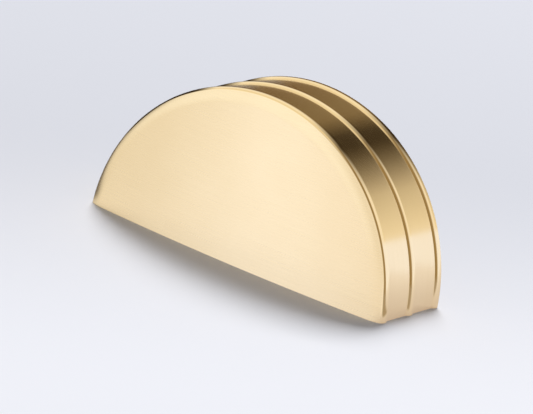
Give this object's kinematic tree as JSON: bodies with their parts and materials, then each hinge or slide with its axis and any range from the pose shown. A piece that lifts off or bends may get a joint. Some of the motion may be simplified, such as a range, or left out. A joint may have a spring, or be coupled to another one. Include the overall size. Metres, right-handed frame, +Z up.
{
  "type": "cup pull",
  "caption": "Half-moon cup pull in satin brass with a crowned face, raised lips round a curved rim and a hollow open below for the fingers.",
  "frame": {"origin": "midway between the two fixing holes, on the mounting plane at the back", "axes": "+X along the straight lower edge, +Y out of the back towards the drawer front, +Z up"},
  "size_m": [0.1008, 0.0327, 0.0486],
  "materials": {
    "satin_brass": "satin brushed brass, brushed along the face and round the rim"
  },
  "bodies": {
    "root": {"cup_pull": "satin_brass"}
  },
  "joints": []
}
